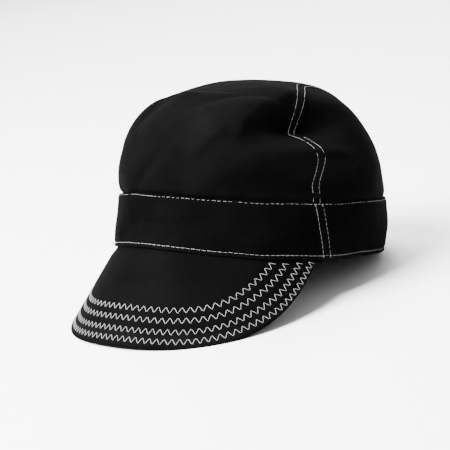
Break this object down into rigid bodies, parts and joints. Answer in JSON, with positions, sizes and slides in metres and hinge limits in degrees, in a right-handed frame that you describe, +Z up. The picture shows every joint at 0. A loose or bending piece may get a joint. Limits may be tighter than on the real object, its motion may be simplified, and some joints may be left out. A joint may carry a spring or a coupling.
{
  "type": "welding cap",
  "caption": "Soft cotton welding cap with a dented panelled crown, a broad stitched band and a steep curved brim with zigzag stitching.",
  "frame": {"origin": "middle of the cap's box, on the surface that it rests on", "axes": "+Z up from the surface, -Y towards the brim, +X towards the wearer's left"},
  "size_m": [0.179, 0.2592, 0.1476],
  "materials": {
    "crown_cloth": "matt black cotton, soft and creased, pale stitching",
    "band_cloth": "matt black cotton, folded double, pale stitching at both edges",
    "brim_cloth": "matt black cotton over a stiffener, four pale zigzag rows"
  },
  "bodies": {
    "root": {"crown_front": "crown_cloth", "crown_back_left": "crown_cloth", "crown_back_right": "crown_cloth", "band_front": "band_cloth", "band_back": "band_cloth", "brim": "brim_cloth"}
  },
  "joints": []
}
